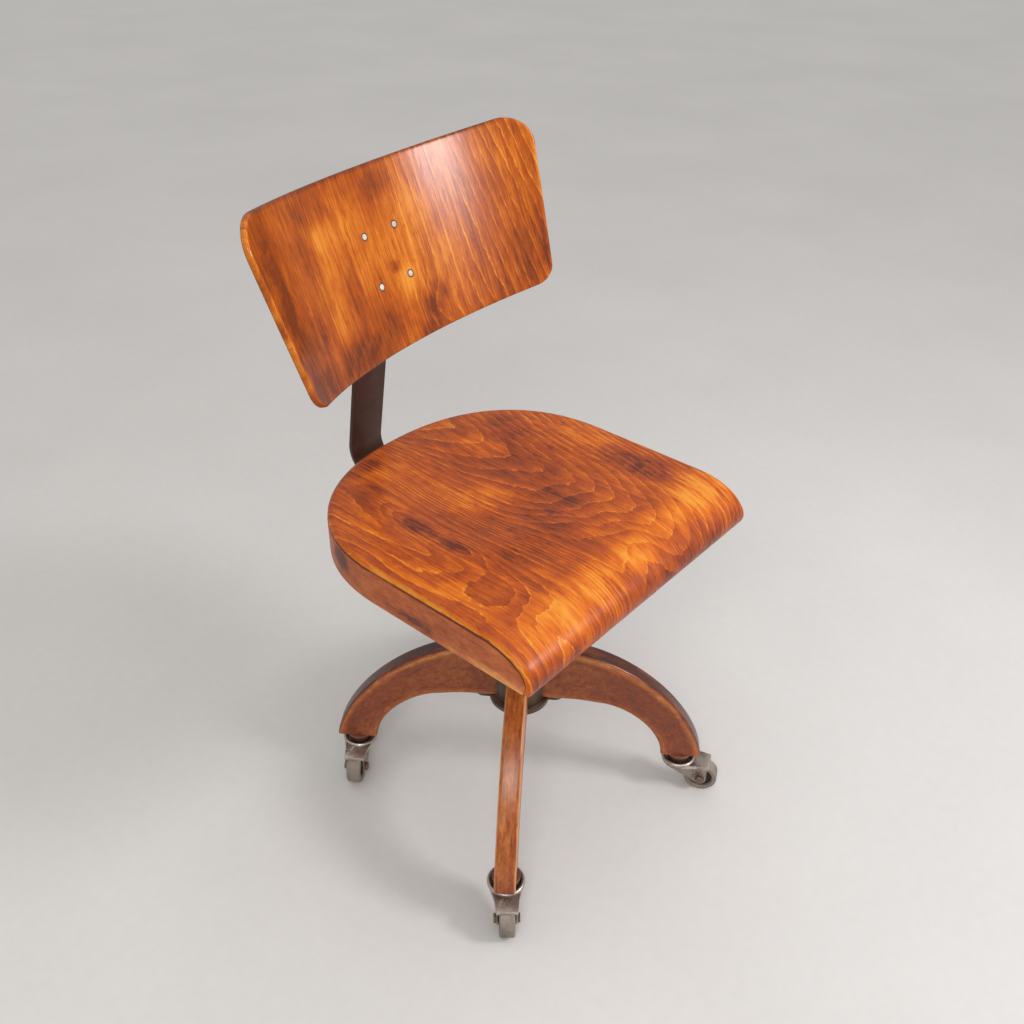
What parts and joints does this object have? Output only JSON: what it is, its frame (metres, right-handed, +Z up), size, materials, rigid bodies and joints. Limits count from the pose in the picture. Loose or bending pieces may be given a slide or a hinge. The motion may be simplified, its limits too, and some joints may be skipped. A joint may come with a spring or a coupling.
{
  "type": "office chair",
  "caption": "Wooden swivel office chair with a rolled-front plywood seat, bent plywood back on a steel strap, arched legs and swivelling casters.",
  "frame": {"origin": "on the floor under the spindle's axis", "axes": "+Z up along the spindle, the sitter faces -Y, +X is the sitter's left"},
  "size_m": [0.468, 0.5244, 0.8417],
  "materials": {
    "seat_plywood": "lacquered moulded plywood with flame grain and worn edges",
    "rim_wood": "worn lacquered hardwood with dark spots",
    "back_plywood": "lacquered plywood with upright pore streaks",
    "leg_wood": "lacquered hardwood, rubbed light on the edges",
    "hidden_wood": "bare planed hardwood",
    "strap_steel": "dark brown enamel, worn at the edges",
    "hub_iron": "dark lacquered iron",
    "plate_steel": "dark enamel",
    "bright_steel": "worn turned steel",
    "fastener_steel": "dulled steel",
    "bush_brass": "dull brass",
    "rivet_metal": "soft grey rivet heads",
    "caster_steel": "worn plated steel with brown tarnish",
    "ball_steel": "polished balls",
    "wheel_tread": "warm grey hard tread",
    "wheel_iron": "dark iron disc"
  },
  "bodies": {
    "base": {"leg_1": "leg_wood", "leg_2": "leg_wood", "leg_3": "leg_wood", "leg_4": "leg_wood", "hub_drum": "hub_iron", "lower_leg_plate": "hub_iron", "upper_leg_plate": "hub_iron", "lower_leg_screws": "fastener_steel", "upper_leg_screws": "fastener_steel", "guide_bush": "bush_brass", "key_screw": "fastener_steel", "collar_washer": "bright_steel", "caster_1_socket": "caster_steel", "caster_2_socket": "caster_steel", "caster_3_socket": "caster_steel", "caster_4_socket": "caster_steel"},
    "collar": {"height_collar": "bright_steel"},
    "column": {"spindle": "bright_steel", "swivel_washer": "bright_steel", "spindle_top_nut": "fastener_steel"},
    "seat": {"seat_shell": "seat_plywood", "seat_rim": "rim_wood", "front_rail": "hidden_wood", "front_batten": "hidden_wood", "rear_batten": "hidden_wood", "seat_plate": "plate_steel", "plate_screws": "fastener_steel", "strap_bolts": "fastener_steel", "strap_nuts": "fastener_steel", "back_strap": "strap_steel"},
    "backrest": {"backrest_board": "back_plywood", "backrest_bracket": "strap_steel", "backrest_rivets": "rivet_metal", "pivot_pin": "bright_steel"},
    "caster_1_swivel": {"caster_1_fork": "caster_steel", "caster_1_balls": "ball_steel", "caster_1_axle": "caster_steel", "caster_1_axle_nut": "caster_steel"},
    "caster_1_wheel": {"caster_1_tyre": "wheel_tread", "caster_1_wheel_core": "wheel_iron"},
    "caster_2_swivel": {"caster_2_fork": "caster_steel", "caster_2_balls": "ball_steel", "caster_2_axle": "caster_steel", "caster_2_axle_nut": "caster_steel"},
    "caster_2_wheel": {"caster_2_tyre": "wheel_tread", "caster_2_wheel_core": "wheel_iron"},
    "caster_3_swivel": {"caster_3_fork": "caster_steel", "caster_3_balls": "ball_steel", "caster_3_axle": "caster_steel", "caster_3_axle_nut": "caster_steel"},
    "caster_3_wheel": {"caster_3_tyre": "wheel_tread", "caster_3_wheel_core": "wheel_iron"},
    "caster_4_swivel": {"caster_4_fork": "caster_steel", "caster_4_balls": "ball_steel", "caster_4_axle": "caster_steel", "caster_4_axle_nut": "caster_steel"},
    "caster_4_wheel": {"caster_4_tyre": "wheel_tread", "caster_4_wheel_core": "wheel_iron"}
  },
  "joints": [
    {"name": "seat_height", "type": "slide", "parent": "base", "child": "column", "axis": [0, 0, 1], "range_m": [-0.045, 0.055]},
    {"name": "collar_turn", "type": "hinge", "parent": "base", "child": "collar", "pos_m": [0, 0, 0.2555], "axis": [0, 0, 1], "range_deg": [-2480, 2030]},
    {"name": "seat_swivel", "type": "hinge", "parent": "column", "child": "seat", "pos_m": [0, 0, 0.392], "axis": [0, 0, 1], "continuous": true},
    {"name": "backrest_tilt", "type": "hinge", "parent": "seat", "child": "backrest", "pos_m": [0, 0.24105, 0.7], "axis": [1, 0, 0], "range_deg": [-12, 12]},
    {"name": "caster_1_turn", "type": "hinge", "parent": "base", "child": "caster_1_swivel", "pos_m": [0.18316, 0.13578, 0.05], "axis": [0, 0, 1], "continuous": true},
    {"name": "caster_1_roll", "type": "hinge", "parent": "caster_1_swivel", "child": "caster_1_wheel", "pos_m": [0.15226, 0.11935, 0.023], "axis": [0.4695, -0.8829, 0], "continuous": true},
    {"name": "caster_2_turn", "type": "hinge", "parent": "base", "child": "caster_2_swivel", "pos_m": [-0.13578, 0.18316, 0.05], "axis": [0, 0, 1], "continuous": true},
    {"name": "caster_2_roll", "type": "hinge", "parent": "caster_2_swivel", "child": "caster_2_wheel", "pos_m": [-0.16445, 0.16309, 0.023], "axis": [0.5736, -0.8192, 0], "continuous": true},
    {"name": "caster_3_turn", "type": "hinge", "parent": "base", "child": "caster_3_swivel", "pos_m": [-0.18316, -0.13578, 0.05], "axis": [0, 0, 1], "continuous": true},
    {"name": "caster_3_roll", "type": "hinge", "parent": "caster_3_swivel", "child": "caster_3_wheel", "pos_m": [-0.20876, -0.15965, 0.023], "axis": [0.682, -0.7314, 0], "continuous": true},
    {"name": "caster_4_turn", "type": "hinge", "parent": "base", "child": "caster_4_swivel", "pos_m": [0.13578, -0.18316, 0.05], "axis": [0, 0, 1], "continuous": true},
    {"name": "caster_4_roll", "type": "hinge", "parent": "caster_4_swivel", "child": "caster_4_wheel", "pos_m": [0.15057, -0.21488, 0.023], "axis": [0.9063, 0.4226, 0], "continuous": true}
  ],
  "couplings": [
    {"joint": "collar_turn", "follows": "seat_height", "rad_per_m": -785.4}
  ]
}
